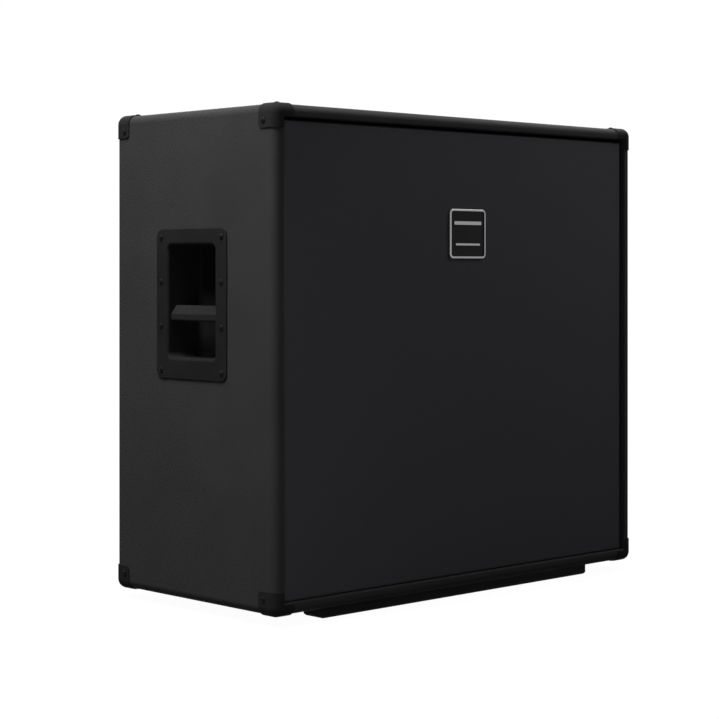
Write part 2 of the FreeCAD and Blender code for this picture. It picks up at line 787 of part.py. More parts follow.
def badge_pins(ease):
    z = top_z - badge_below_top
    rise = badge_height / 4
    end = cloth_front + badge_pin_length + ease
    return [
        rod(badge_pin_radius + ease, V(0, cloth_front, z + sign * rise), V(0, end, z + sign * rise))
        for sign in (-1, 1)
    ]


def make_badge():
    z = top_z - badge_below_top
    half_x, half_z = badge_width / 2, badge_height / 2
    y = cloth_front
    rim = block(-half_x, half_x, y - badge_rim_t, y, z - half_z, z + half_z)
    rim = rounded(rim, badge_corner_radius, Y_AXIS)
    crown = [e for e in rim.Edges if abs(e.CenterOfMass.y - y + badge_rim_t) < 1e-6]
    rim = rim.makeFillet(badge_rim_width / 3, crown)
    in_x, in_z = half_x - badge_rim_width, half_z - badge_rim_width
    window = block(-in_x, in_x, y - badge_rim_t, y, z - in_z, z + in_z)
    nodes["badge_rim"] = [rim.cut(rounded(window, badge_corner_radius - badge_rim_width, Y_AXIS))]
    x, h = in_x - hole_gap, in_z - hole_gap
    plate = block(-x, x, y - badge_plate_t, y, z - h, z + h)
    plate = rounded(plate, badge_corner_radius - badge_rim_width, Y_AXIS)
    nodes["badge_plate"] = [plate.fuse(badge_pins(0)).removeSplitter()]
    nodes["badge_ribs"] = [
        badge_rib(z + badge_rib_spacing / 2, badge_upper_rib_length, badge_upper_rib_height),
        badge_rib(z - badge_rib_spacing / 2, badge_lower_rib_length, badge_lower_rib_height),
    ]


def badge_rib(z, length, height):
    """A plain raised bar on the front of the badge's plate."""
    face = cloth_front - badge_plate_t
    x, half = length / 2, height / 2
    return rounded(block(-x, x, face - badge_rib_t, face, z - half, z + half), badge_rib_round, Y_AXIS)


# Drivers, each made about the Y axis with the rear face of the baffle at y = 0
def basket():
    steel = sheet_steel_t
    slope = math.hypot(basket_depth, rim_inner_r - shelf_r) / basket_depth * steel
    shape = turned(outline([
        (frame_r, gasket_t),
        (rim_inner_r, gasket_t),
        (shelf_r, shelf_y),
        (can_radius, shelf_y),
        (can_radius, seat_y - steel),
        (magnet_bore_radius, seat_y - steel),
        (magnet_bore_radius, seat_y),
        (can_outer_r, seat_y),
        (can_outer_r, shelf_y + steel),
        (shelf_r + slope, shelf_y + steel),
        (rim_inner_r + slope, gasket_t + steel),
        (frame_r, gasket_t + steel),
    ]))
    sector = outline([
        (shelf_r + window_margin, 2 * steel),
        (rim_inner_r - window_margin, gasket_t + 2 * steel),
        (rim_inner_r - window_margin, seat_y),
        (shelf_r + window_margin, seat_y),
    ])
    opening = outward(Part.Face(Part.Wire(sector)).revolve(V(), Y_AXIS, window_angle))
    openings = []
    for i in range(basket_windows):
        copy = opening.copy()
        copy.rotate(V(), Y_AXIS, 360 / basket_windows * i - window_angle / 2)
        openings.append(copy)
    return cut_all(cut_all(shape, openings), flange_holes(gasket_t, gasket_t + steel))


def flange_holes(y0, y1):
    return [rod(flange_hole_radius, o + Y_AXIS * y0, o + Y_AXIS * y1) for o in bolt_offsets()]


def gasket():
    return cut_all(ring(gasket_r, frame_r, 0, gasket_t), flange_holes(0, gasket_t))


def yoke():
    pole_r = coil_radius - gap_ease
    top = seat_y - sheet_steel_t / 2
    return turned(outline([
        (0, top),
        (pole_r, top),
        (pole_r, yoke_y),
        (front_plate_radius, yoke_y),
        (front_plate_radius, yoke_y + yoke_t),
        (0, yoke_y + yoke_t),
    ]))


def voice_coil():
    middle = seat_y + front_plate_t / 2
    top, bottom = middle - winding_height / 2, middle + winding_height / 2
    wound = coil_outer_r + winding_t
    end = magnet_y + coil_overhang
    return turned(outline([
        (coil_radius, neck_y - cone_t),
        (coil_outer_r, neck_y - cone_t),
        (coil_outer_r, top),
        (wound, top),
        (wound, bottom),
        (coil_outer_r, bottom),
        (coil_outer_r, end),
        (coil_radius, end),
    ]))


def cone_front(radius):
    """Depth of the front of the cone, behind the baffle, at a radius."""
    inner = coil_outer_r + hole_gap
    return gasket_t + cone_depth * (cone_rim_r - radius) / (cone_rim_r - inner) - surround_t


def cone():
    inner = coil_outer_r + hole_gap
    return turned(outline([
        (cone_rim_r, cone_front(cone_rim_r)),
        (inner, cone_front(inner)),
        (inner, cone_front(inner) + cone_t),
        (cone_rim_r, cone_front(cone_rim_r) + cone_t),
    ]))


def dust_cap():
    """A dome that stands on the front of the cone."""
    foot = cone_front(dust_cap_radius) - hole_gap
    ball = (dust_cap_radius**2 + dust_cap_height**2) / (2 * dust_cap_height)
    centre = foot - dust_cap_height + ball

    def dome(radius):
        edge = math.acos((centre - foot) / radius)
        return [V(radius * math.sin(a), centre - radius * math.cos(a), 0) for a in (edge, edge / 2, 0)]

    outer, inner = dome(ball), dome(ball - dust_cap_t)
    return turned([
        Part.Arc(*outer).toShape(),
        Part.makeLine(outer[2], inner[2]),
        Part.Arc(*inner[::-1]).toShape(),
        Part.makeLine(inner[0], outer[0]),
    ])


def rolled(start, end, heights, face, thickness, landing):
    """A corrugated disc: rolls between two radii, then a flat landing, all of one thickness.

    Each roll has a height, which is negative where it stands forward.
    """
    pitch = (end - start) / len(heights)

    def edges_at(y):
        found = []
        for i, height in enumerate(heights):
            a, b = start + i * pitch, start + (i + 1) * pitch
            bulge = V((a + b) / 2, y + height, 0)
            found.append(Part.Arc(V(a, y, 0), bulge, V(b, y, 0)).toShape())
        found.append(Part.makeLine(V(end, y, 0), V(end + landing, y, 0)))
        return found

    front, back = edges_at(face - thickness), edges_at(face)
    tie = [
        Part.makeLine(V(start, face - thickness, 0), V(start, face, 0)),
        Part.makeLine(V(end + landing, face - thickness, 0), V(end + landing, face, 0)),
    ]
    return turned(Part.__sortEdges__(front + back + tie))


def surround():
    start = cone_rim_r + run_gap
    landing = gasket_r - fit_gap - rim_inner_r
    heights = [-roll_height] * surround_rolls
    return rolled(start, rim_inner_r, heights, gasket_t, surround_t, landing)


def spider():
    start = coil_outer_r + run_gap
    end = shelf_r - spider_landing
    landing = spider_landing - fit_gap
    heights = [(-1) ** (i + 1) * spider_roll_height for i in range(spider_rolls)]
    return rolled(start, end, heights, shelf_y, spider_t, landing)


def terminal():
    """A small board on the basket's can, with two tags, on the +X side."""
    y0 = shelf_y + sheet_steel_t + fit_gap
    half = terminal_width / 2
    reach = can_outer_r + terminal_t
    board = block(can_radius, reach, y0, y0 + terminal_height, -half, half)
    board = board.cut(rod(can_outer_r + fit_gap / 2, V(), Y_AXIS * seat_y))
    middle = y0 + terminal_height / 2
    tags = [
        block(
            reach, reach + tag_length, middle - tag_t / 2, middle + tag_t / 2,
            z - tag_width / 2, z + tag_width / 2,
        )
        for z in (-tag_spacing / 2, tag_spacing / 2)
    ]
    return board.fuse(tags).removeSplitter()


def bolt():
    """One bolt with its head behind the rim, along -Y from the rim's rear face."""
    seat = gasket_t + sheet_steel_t
    head = rod(bolt_head_radius, Y_AXIS * seat, Y_AXIS * (seat + bolt_head_t))
    shank = rod(bolt_radius, Y_AXIS * -bolt_grip, Y_AXIS * seat)
    return head.fuse(shank).removeSplitter()


def tee_nut():
    """A flanged nut let into the front of the baffle."""
    front = -baffle_t
    flange = rod(nut_flange_radius, Y_AXIS * (front - nut_flange_t), Y_AXIS * front)
    barrel = rod(nut_barrel_radius, Y_AXIS * front, Y_AXIS * (front + nut_barrel_length))
    thread = rod(bolt_radius + hole_gap, Y_AXIS * (front - nut_flange_t), V())
    return flange.fuse(barrel).removeSplitter().cut(thread)


def make_drivers():
    centres = speaker_centres()
    plate_bore = coil_outer_r + winding_t + gap_ease
    shared = {
        "speaker_baskets": basket(),
        "speaker_gaskets": gasket(),
        "speaker_front_plates": ring(plate_bore, front_plate_radius, seat_y, magnet_y),
        "speaker_magnets": ring(magnet_bore_radius, magnet_radius, magnet_y, yoke_y),
        "speaker_pole_yokes": yoke(),
        "speaker_surrounds": surround(),
        "speaker_spiders": spider(),
    }
    for name, shape in shared.items():
        nodes[name] = [shape.translated(c) for c in centres.values()]
    moving = {"cone": cone(), "voice_coil": voice_coil(), "dust_cap": dust_cap()}
    for place, centre in centres.items():
        for name, shape in moving.items():
            nodes[place + "_" + name] = [shape.translated(centre)]
    board = terminal()
    turned_board = board.copy()
    turned_board.rotate(V(), Y_AXIS, 180)
    nodes["speaker_terminals"] = [
        (board if c.x < 0 else turned_board).translated(c) for c in centres.values()
    ]
    for name, shape in (("speaker_bolts", bolt()), ("tee_nuts", tee_nut())):
        nodes[name] = [shape.translated(c + o) for c in centres.values() for o in bolt_offsets()]


# Cables
def tube(points, radius):
    """A round tube along straight runs joined by tangent arcs, and the radii of its bends."""
    edges, radii = [], []
    at = points[0]
    for before, corner, after in zip(points, points[1:], points[2:]):
        come, go = corner - before, after - corner
        turn = come.getAngle(go)
        tangent = cable_bend_share * min(come.Length, go.Length)
        bend = tangent / math.tan(turn / 2)
        first = corner - come.normalize() * tangent
        last = corner + go.normalize() * tangent
        inward = ((first + last) * 0.5 - corner).normalize()
        centre = corner + inward * (bend / math.cos(turn / 2))
        edges.append(Part.makeLine(at, first))
        edges.append(Part.Arc(first, centre - inward * bend, last).toShape())
        radii.append(round(bend))
        at = last
    edges.append(Part.makeLine(at, points[-1]))
    path = Part.Wire(edges)
    section = Part.Wire(Part.makeCircle(radius, points[0], points[1] - points[0]))
    shape = outward(path.makePipeShell([section], True, False))
    expected = math.pi * radius**2 * path.Length
    print("cable", round(path.Length), "mm, bends", radii, "volume ratio", round(shape.Volume / expected, 4))
    return shape


def make_cables():
    """One two-core cable from the input plate to each driver, past the sides of the centre post."""
    tubes = []
    start_y = rear_outer - jack_body_length
    tag_y = baffle_rear + shelf_y + sheet_steel_t + fit_gap + terminal_height / 2
    tag_x = speaker_x - can_outer_r - terminal_t - tag_length
    beside_post = post_size / 2 + cable_radius + run_gap
    for side, level in SPEAKERS.values():
        jack_x = side * jack_spacing / 2
        z = jack_z + level * cable_spacing / 2
        end_z = mid_z + level * speaker_z
        end = V(side * tag_x, tag_y, end_z)
        if level < 0:
            way = [
                V(jack_x, start_y - 40, z),
                V(jack_x - side * 4, start_y - 95, z - 8),
                V(jack_x + side * 2, tag_y + 50, z - 22),
                V(side * (tag_x - 48), tag_y + 10, end_z + 4),
            ]
        else:
            way = [
                V(jack_x, start_y - 30, z),
                V(side * beside_post, start_y - 62, z + 42),
                V(side * beside_post, start_y - 80, mid_z - 10),
                V(side * beside_post, start_y - 112, mid_z + 46),
                V(side * (beside_post + 6), tag_y + 50, end_z - 58),
                V(side * (tag_x - 48), tag_y + 12, end_z - 6),
            ]
        tubes.append(tube([V(jack_x, start_y, z)] + way + [end], cable_radius))
    nodes["speaker_cables"] = tubes


def main():
    make_box()
    make_covering()
    make_baffle()
    make_rear()
    make_handles()
    make_corners()
    make_skids()
    make_input_plate()
    make_grille()
    make_badge()
    make_drivers()
    make_cables()
    os.makedirs("parts", exist_ok=True)
    for name, solids in nodes.items():
        shape = solids[0] if len(solids) == 1 else Part.makeCompound(solids)
        shape.exportStep("parts/" + name + ".step")
    print(len(nodes), "nodes, cabinet", cabinet_width, "x", cabinet_depth, "x", cabinet_height)


main()
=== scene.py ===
import json
import math

import bmesh
import bpy
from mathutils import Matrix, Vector


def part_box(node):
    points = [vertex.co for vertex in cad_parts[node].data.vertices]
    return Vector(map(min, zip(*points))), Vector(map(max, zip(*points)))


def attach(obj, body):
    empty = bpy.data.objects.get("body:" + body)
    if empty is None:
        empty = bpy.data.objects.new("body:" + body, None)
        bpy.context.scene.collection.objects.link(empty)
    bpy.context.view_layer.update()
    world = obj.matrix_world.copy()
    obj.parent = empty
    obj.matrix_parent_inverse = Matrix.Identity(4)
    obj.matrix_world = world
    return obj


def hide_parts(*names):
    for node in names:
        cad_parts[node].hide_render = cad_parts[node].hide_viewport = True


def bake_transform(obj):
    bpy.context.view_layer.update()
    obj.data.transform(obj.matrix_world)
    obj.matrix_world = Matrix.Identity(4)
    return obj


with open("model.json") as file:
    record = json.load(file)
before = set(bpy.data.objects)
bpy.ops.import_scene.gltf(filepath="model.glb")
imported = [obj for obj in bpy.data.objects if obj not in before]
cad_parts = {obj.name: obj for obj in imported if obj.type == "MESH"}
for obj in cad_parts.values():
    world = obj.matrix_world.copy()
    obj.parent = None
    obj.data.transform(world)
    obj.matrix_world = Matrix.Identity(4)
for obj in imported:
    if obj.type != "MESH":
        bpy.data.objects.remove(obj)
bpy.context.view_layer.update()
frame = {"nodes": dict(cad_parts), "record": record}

# A closed-back guitar speaker cabinet, dressed in its finishes. Metres, front towards -Y.
nodes = frame["nodes"]
MM = 0.001
faces_back = 0.9                # least Y in the normal of a face that looks to the back

# Grille cloth. Creases here and below are angles in degrees: edges over them are shaded sharp.
cloth_thickness = 0.8 * MM
cloth_edge_radius = 4.0 * MM
cloth_edge_steps = 5
cloth_fold = 18 * MM            # on the back of the frame
cloth_thread = 1.3 * MM         # from thread to thread of the weave
cloth_crease = 40

# Cones
cone_places = ("upper_left", "upper_right", "lower_left", "lower_right")
cone_bore = 22.6 * MM           # neck, round the voice coil
cone_edge = 116 * MM            # where the paper goes under its corrugated edge
cone_paper = 1.0 * MM
cone_ribs = 7
cone_rib_height = 0.8 * MM
cone_rib_span = (52 * MM, 112 * MM)
cone_steps = 4                  # rings of the mesh to each half of a rib
cone_sides = 96
paper_crease = 50

# Corrugated edges, from the baskets to the cones
edge_paper = 0.6 * MM
edge_outer = 141.3 * MM         # radii: on the basket, inside the rim, where it dips, on the cone
edge_rim = 134 * MM
edge_dip = 127.8 * MM
edge_inner = 114.5 * MM
edge_glue = 0.05 * MM
flat_rolls, flat_roll_height = 2, 1.2 * MM
slope_rolls, slope_roll_height = 3, 0.9 * MM
roll_steps = 8

# Staples in the fold of the cloth
staple_crown = 10 * MM
staple_wire = 0.9 * MM
staple_pitch = 45 * MM
staple_inset = 9 * MM           # from the outer edge of the cloth
staple_rounding = 0.35 * staple_wire
staple_rounding_steps = 3
staple_crease = 60

# Printed rings round the jacks
ring_mark_radius = 10.5 * MM
ring_mark_width = 0.7 * MM
ring_mark_height = 0.12 * MM
ring_mark_sides = 64
ring_mark_crease = 30

# Camera, from the vanishing lines of the photograph
eye_place = (-2.080, -2.1201, 0.4877)
eye_heading = (0.69076, 0.72308, 0.0)
eye_lens = 96.302
eye_shift = -0.13049

# Studio
white = (1.02, 1.02, 1.02, 1.0)  # just over 1, so that the background has no grey in it
sky_light = 0.095
floor_reach = 30.0
floor_pale = 0.8                # colour of the floor, as the camera sees it
floor_bounce = 0.06             # and as it lights the cabinet from below
floor_glow = (0.95, 1.0)        # share of plain white, near the cabinet and far away
floor_fade = (1.2, 3.5)         # between these distances
SOFTBOXES = {                   # place, point that it faces, size, power
    "side_softbox": ((-1.14, 0.02, 1.95), (-0.38, 0.02, 0.42), (0.3, 0.9), 61),
    "top_softbox": ((0, 0.3, 2.6), (0, 0, 0.7), (2.0, 1.4), 50),
    "front_softbox": ((1.05, -1.0, 1.7), (0.3, -0.17, 0.4), (0.9, 0.6), 13),
    "fill_softbox": ((-0.9, -0.75, 0.25), (-0.36, -0.17, 0.15), (0.4, 0.4), 1.4),
    "rear_softbox": ((0.6, 2.2, 1.5), (0, 0.18, 0.35), (1.6, 1.0), 34),
    "right_softbox": ((1.6, 0.15, 1.6), (0.38, 0, 0.4), (0.6, 0.5), 25),
}

# A Mix node's first and second inputs and its result, for each kind of data
MIX_SOCKETS = {"FLOAT": (2, 3, 0), "RGBA": (6, 7, 2)}


# Selecting, joining and finishing pieces
def deselect():
    if bpy.context.mode != "OBJECT":
        bpy.ops.object.mode_set(mode="OBJECT")
    bpy.ops.object.select_all(action="DESELECT")


def take(*pieces):
    deselect()
    for piece in pieces:
        piece.select_set(True)
    bpy.context.view_layer.objects.active = pieces[0]


def edit(piece, kind="FACE"):
    take(piece)
    bpy.ops.object.mode_set(mode="EDIT")
    bpy.ops.mesh.select_mode(type=kind)
    bpy.ops.mesh.select_all(action="DESELECT")


def edit_whole(piece, kind="FACE"):
    edit(piece, kind)
    bpy.ops.mesh.select_all(action="SELECT")


def pick_faces(piece, test):
    mesh = bmesh.from_edit_mesh(piece.data)
    for face in mesh.faces:
        face.select_set(test(face.normal))
    mesh.select_flush_mode()
    bmesh.update_edit_mesh(piece.data)


def pick_edges(piece, test):
    mesh = bmesh.from_edit_mesh(piece.data)
    for edge in mesh.edges:
        first, second = (corner.co for corner in edge.verts)
        edge.select_set(test((first + second) / 2))
    mesh.select_flush_mode()
    bmesh.update_edit_mesh(piece.data)


def done():
    bpy.ops.object.mode_set(mode="OBJECT")


def settle():
    """Applies the place, turn and scale of the selected piece."""
    bpy.ops.object.transform_apply(location=True, rotation=True, scale=True)


def join(pieces):
    take(*pieces)
    bpy.ops.object.join()
    return bpy.context.object


def thicken(piece, thickness):
    """Gives a sheet its thickness, behind the faces that it has."""
    take(piece)
    modifier = piece.modifiers.new("Solidify", "SOLIDIFY")
    modifier.thickness = thickness
    modifier.offset = -1
    bpy.ops.object.modifier_apply(modifier=modifier.name)


def smooth(piece, crease):
    take(piece)
    bpy.ops.object.shade_smooth_by_angle(angle=math.radians(crease))


def dress(piece, name, body, finish, replaced=()):
    """Names a piece and gives it its finish. A piece without a body is left unattached."""
    piece.name = name
    piece.data.name = name
    piece.data.materials.clear()
    piece.data.materials.append(FINISHES[finish])
    if body:
        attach(piece, body)
    if replaced:
        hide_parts(*replaced)


# Parts of a material
def grey(value):
    return (value, value, value, 1.0)


class Finish:
    """A surface built from patterns on the piece's own coordinates."""

    def __init__(self, name, colour, roughness, **settings):
        self.material = bpy.data.materials.new(name)
        self.material.use_nodes = True
        self.tree = self.material.node_tree
        self.shader = self.tree.nodes["Principled BSDF"]
        self.set("Base Color", (*colour, 1.0))
        self.set("Roughness", roughness)
        for socket, value in settings.items():
            self.set(socket.replace("_", " "), value)
        self.place = self.tree.nodes.new("ShaderNodeTexCoord").outputs["Object"]

    def set(self, socket, value):
        self.shader.inputs[socket].default_value = value

    def feed(self, socket, value):
        self.tree.links.new(value, self.shader.inputs[socket])

    def node(self, kind, inputs=(), **settings):
        made = self.tree.nodes.new("ShaderNode" + kind)
        for name, value in settings.items():
            setattr(made, name, value)
        for socket, value in dict(inputs).items():
            if isinstance(value, bpy.types.NodeSocket):
                self.tree.links.new(value, made.inputs[socket])
            else:
                made.inputs[socket].default_value = value
        return made

    def stretched(self, *scale):
        return self.node("Mapping", {"Vector": self.place, "Scale": scale}).outputs["Vector"]

    def noise(self, scale, detail=3.0, place=None, rough=0.5):
        inputs = {"Vector": place or self.place, "Scale": scale, "Detail": detail, "Roughness": rough}
        return self.node("TexNoise", inputs).outputs["Fac"]

    def cells(self, scale, place=None):
        inputs = {"Vector": place or self.place, "Scale": scale}
        return self.node("TexVoronoi", inputs, feature="SMOOTH_F1").outputs["Distance"]

    def bands(self, pitch, direction):
        """Waves that repeat at a pitch: at a scale of 1, Blender's repeat every pi / 10."""
        inputs = {"Vector": self.place, "Scale": math.pi / 10 / pitch}
        return self.node("TexWave", inputs, bands_direction=direction).outputs["Fac"]

    def mix(self, kind, share, first, second, **settings):
        one, two, result = MIX_SOCKETS[kind]
        inputs = {"Factor": share, one: first, two: second}
        return self.node("Mix", inputs, data_type=kind, **settings).outputs[result]

    def math(self, operation, first, second):
        return self.node("Math", {0: first, 1: second}, operation=operation).outputs["Value"]

    def ramp(self, value, *stops):
        """Colours between two stops of (value, colour)."""
        made = self.node("ValToRGB", {"Fac": value})
        for element, (at, colour) in zip(made.color_ramp.elements, stops):
            element.position = at
            element.color = colour
        return made.outputs["Color"]

    def colour(self, value, start, end):
        stops = [(at, (*colour, 1.0)) for at, colour in (start, end)]
        self.feed("Base Color", self.ramp(value, *stops))

    def roughness(self, value, low, high):
        self.feed("Roughness", self.ramp(value, (0.25, grey(low)), (0.75, grey(high))))

    def bump(self, height, strength, depth):
        inputs = {"Height": height, "Strength": strength, "Distance": depth}
        self.feed("Normal", self.node("Bump", inputs).outputs["Normal"])


# Finishes
def black_vinyl():
    """Embossed covering: rounded pebbles of about a millimetre with fine wrinkles between them."""
    f = Finish("black_vinyl", (0.028, 0.028, 0.0285), roughness=0.6, Specular_IOR_Level=0.004)
    warp = f.node("TexNoise", {"Vector": f.place, "Scale": 420.0, "Detail": 2.0}).outputs["Color"]
    pebbles = f.cells(760.0, f.mix("RGBA", 0.0012, f.place, warp, blend_type="ADD"))
    wrinkles = f.noise(2600.0, detail=2.0)
    height = f.math("SUBTRACT", f.math("MULTIPLY", wrinkles, 0.25), pebbles)
    f.bump(height, strength=0.5, depth=0.5 * MM)
    patches = f.noise(9.0, detail=4.0)
    f.colour(patches, (0.3, (0.026, 0.026, 0.0265)), (0.7, (0.03, 0.03, 0.0305)))
    f.roughness(pebbles, low=0.52, high=0.7)
    return f.material


def woven_cloth():
    """Plain weave: threads of two directions, each over and under the other."""
    f = Finish("grille_cloth", (0.044, 0.043, 0.048), roughness=0.9, Specular_IOR_Level=0.01)
    across = f.bands(cloth_thread, "X")
    along = f.bands(cloth_thread, "Z")
    over = f.node("TexChecker", {"Vector": f.place, "Scale": 1 / cloth_thread}).outputs["Fac"]
    weave = f.mix("FLOAT", over, across, along)
    fuzz = f.noise(3000.0, detail=2.0)
    f.bump(f.math("ADD", weave, f.math("MULTIPLY", fuzz, 0.3)), strength=0.5, depth=0.3 * MM)
    # Colour follows the weave's height: painted shade in the hollows between threads, painted light on their
    # crests
    f.colour(weave, (0.0, (0.024, 0.0236, 0.0263)), (1.0, (0.069, 0.0678, 0.0755)))
    slubs = f.noise(60.0)
    f.roughness(slubs, low=0.78, high=0.92)
    return f.material


def moulded_plastic(name, shade, grain, roughness, gloss=0.05):
    """Injection-moulded plastic with a spark-eroded grain."""
    f = Finish(name, (shade, shade, shade * 1.03), roughness, Specular_IOR_Level=gloss)
    pits = f.noise(grain)
    f.bump(pits, strength=0.3, depth=0.3 * MM)
    patches = f.noise(14.0)
    f.colour(patches, (0.3, (shade * 0.85,) * 3), (0.7, (shade * 1.15, shade * 1.15, shade * 1.18)))
    f.roughness(pits, low=roughness - 0.08, high=roughness + 0.1)
    return f.material


def metal(name, colour, roughness, brush, strength=0.15):
    """Metal with fine scratches along X."""
    f = Finish(name, colour, roughness, Metallic=1.0)
    scratches = f.noise(brush, detail=4.0, place=f.stretched(0.05, 1.0, 1.0))
    f.bump(scratches, strength, depth=0.1 * MM)
    f.colour(scratches, (0.3, tuple(0.8 * c for c in colour)), (0.7, colour))
    tarnish = f.noise(40.0, detail=4.0)
    f.roughness(tarnish, low=roughness * 0.75, high=roughness * 1.3)
    return f.material


def painted_steel():
    """Black paint with a slight orange peel."""
    f = Finish("black_steel", (0.009, 0.009, 0.0093), roughness=0.42, Specular_IOR_Level=0.02)
    peel = f.noise(900.0, detail=2.0)
    f.bump(peel, strength=0.15, depth=0.2 * MM)
    patches = f.noise(120.0)
    f.colour(patches, (0.3, (0.008, 0.008, 0.0083)), (0.75, (0.011, 0.011, 0.0113)))
    f.roughness(peel, low=0.35, high=0.5)
    return f.material


def wood(name, pale, dark, paint=0.0):
    """Plywood with its grain along X."""
    f = Finish(name, pale, roughness=0.75, Specular_IOR_Level=0.04)
    rings = f.noise(30.0, detail=6.0, place=f.stretched(0.08, 1.0, 1.0), rough=0.6)
    fibres = f.noise(500.0, place=f.stretched(0.04, 1.0, 1.0))
    f.colour(rings, (0.35, dark), (0.65, pale))
    f.bump(f.math("ADD", f.math("MULTIPLY", rings, 0.4), fibres), strength=0.25, depth=0.4 * MM)
    f.roughness(fibres, low=0.6 + paint, high=0.8)
    return f.material


def fibre(name, colour, scale, roughness=0.9):
    """Pressed paper, board, felt or woven pads: short fibres in all directions."""
    f = Finish(name, colour, roughness, Specular_IOR_Level=0.15)
    tangle = f.noise(scale, detail=5.0, rough=0.7)
    f.colour(tangle, (0.3, tuple(0.7 * c for c in colour)), (0.7, tuple(1.25 * c for c in colour)))
    f.bump(tangle, strength=0.4, depth=0.4 * MM)
    f.roughness(tangle, low=roughness - 0.1, high=min(1.0, roughness + 0.05))
    return f.material


def ferrite():
    """Sintered magnet with a fine grain."""
    f = Finish("ferrite", (0.05, 0.05, 0.055), roughness=0.6)
    sinter = f.cells(700.0)
    f.bump(sinter, strength=0.3, depth=0.3 * MM)
    patches = f.noise(80.0, detail=4.0)
    f.colour(patches, (0.3, (0.04, 0.04, 0.045)), (0.7, (0.065, 0.065, 0.07)))
    f.roughness(sinter, low=0.5, high=0.7)
    return f.material


FINISHES = {
    "black_vinyl": black_vinyl(),
    "grille_cloth": woven_cloth(),
    "black_plastic": moulded_plastic("black_plastic", shade=0.0114, grain=1500.0, roughness=0.5, gloss=0.003),
    "cap_plastic": moulded_plastic("cap_plastic", shade=0.0148, grain=1100.0, roughness=0.55, gloss=0.003),
    # Lighter than black_plastic: painted light, so that the handle bars read brighter where light falls on
    # them
    "bar_plastic_painted_sheen": moulded_plastic("bar_plastic_painted_sheen", shade=0.0135, grain=2000.0, roughness=0.45, gloss=0.003),
    "black_rubber": moulded_plastic("black_rubber", shade=0.01, grain=900.0, roughness=0.75),
    "badge_black": moulded_plastic("badge_black", shade=0.009, grain=2500.0, roughness=0.3),
    "cable_black": moulded_plastic("cable_black", shade=0.012, grain=1200.0, roughness=0.5),
    "black_steel": painted_steel(),
    "zinc_steel": metal("zinc_steel", (0.45, 0.45, 0.44), roughness=0.35, brush=900.0),
    "nickel": metal("nickel", (0.28, 0.28, 0.285), roughness=0.24, brush=1600.0, strength=0.08),
    "brass": metal("brass", (0.6, 0.45, 0.2), roughness=0.3, brush=900.0),
    "coil_metal": metal("coil_metal", (0.5, 0.3, 0.16), roughness=0.35, brush=2500.0),
    "plywood": wood("plywood", pale=(0.62, 0.45, 0.27), dark=(0.46, 0.31, 0.17)),
    # Black paint, made darker than paint is: partly painted shade, for the dark gap round the grille
    "black_plywood": wood("black_plywood", pale=(0.0065,) * 3, dark=(0.0045,) * 3, paint=0.05),
    "cone_paper": fibre("cone_paper", (0.045, 0.043, 0.041), scale=350.0),
    "doped_paper": fibre("doped_paper", (0.028, 0.027, 0.026), scale=600.0, roughness=0.7),
    "gasket_board": fibre("gasket_board", (0.07, 0.06, 0.05), scale=500.0),
    "spider_cloth": fibre("spider_cloth", (0.42, 0.27, 0.09), scale=1500.0),
    "hook_fabric": fibre("hook_fabric", (0.012, 0.012, 0.012), scale=1800.0),
    "ferrite": ferrite(),
}

# Pieces of one slot that differ in their finish: handle bars a lighter, smoother copy of black plastic, the
# lighter tone painted light; caps with a coarser grain
SPECIAL = {
    "left_handle_bar": "bar_plastic_painted_sheen",
    "right_handle_bar": "bar_plastic_painted_sheen",
    "front_corner_protectors": "cap_plastic",
    "rear_corner_protectors": "cap_plastic",
}


def dress_cad_nodes():
    """Each solid keeps its own shape and gets the finish of its slot in the record."""
    for part in frame["record"]["subparts"]:
        name = part["node"]
        materials = nodes[name].data.materials
        materials.clear()
        materials.append(FINISHES[SPECIAL.get(name, part["material_slot"])])


# Grille cloth
def make_grille_cloth():
    """Stretched over the front of its frame, round the edges and folded on the back."""
    low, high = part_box("grille_cloth")
    size = high - low
    deselect()
    bpy.ops.mesh.primitive_cube_add(size=1, location=(low + high) / 2)
    cloth = bpy.context.object
    cloth.scale = size
    settle()
    edit(cloth)
    pick_faces(cloth, lambda normal: normal.y > faces_back)
    bpy.ops.mesh.inset(thickness=cloth_fold)
    bpy.ops.mesh.delete(type="FACE")
    bpy.ops.mesh.select_mode(type="EDGE")
    pick_edges(cloth, lambda middle: math.isclose(middle.y, low.y, abs_tol=0.001 * MM))
    bpy.ops.mesh.bevel(offset=cloth_edge_radius, segments=cloth_edge_steps, profile=0.5)
    done()
    thicken(cloth, cloth_thickness)
    smooth(cloth, cloth_crease)
    dress(cloth, "stretched_cloth", "grille", "grille_cloth", ["grille_cloth"])


# Drivers
def lathe(centre, outline, sides):
    """Rings of an outline of (radius, y), one after another, about an axis along Y."""
    radius, y = outline[0]
    deselect()
    bpy.ops.mesh.primitive_circle_add(
        vertices=sides, radius=radius, location=(centre.x, y, centre.z), rotation=(math.pi / 2, 0, 0)
    )
    piece = bpy.context.object
    settle()
    edit_whole(piece, "EDGE")
    for (radius, y), (next_radius, next_y) in zip(outline, outline[1:]):
        bpy.ops.mesh.extrude_region_move(TRANSFORM_OT_translate={"value": (0, next_y - y, 0)})
        share = next_radius / radius
        bpy.ops.transform.resize(value=(share, 1, share), center_override=(centre.x, next_y, centre.z))
    done()
    return piece


def make_paper(centre, outline, thickness):
    """A thin ring of paper whose outline is its front."""
    paper = lathe(centre, outline, cone_sides)
    edit_whole(paper)
    bpy.ops.mesh.normals_make_consistent(inside=False)
    faces = bmesh.from_edit_mesh(paper.data).faces
    if sum(face.normal.y * face.calc_area() for face in faces) > 0:
        bpy.ops.mesh.flip_normals()
    done()
    thicken(paper, thickness)
    smooth(paper, paper_crease)
    return paper


def cone_shape(place):
    """The middle of a cone, the height of its rim, and a function for its front at a radius."""
    low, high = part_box(place + "_cone")
    rim, depth = (high.x - low.x) / 2, high.y - low.y - cone_paper

    def front(radius):
        return low.y + depth * (rim - radius) / (rim - cone_bore)

    return (low + high) / 2, low.y, front


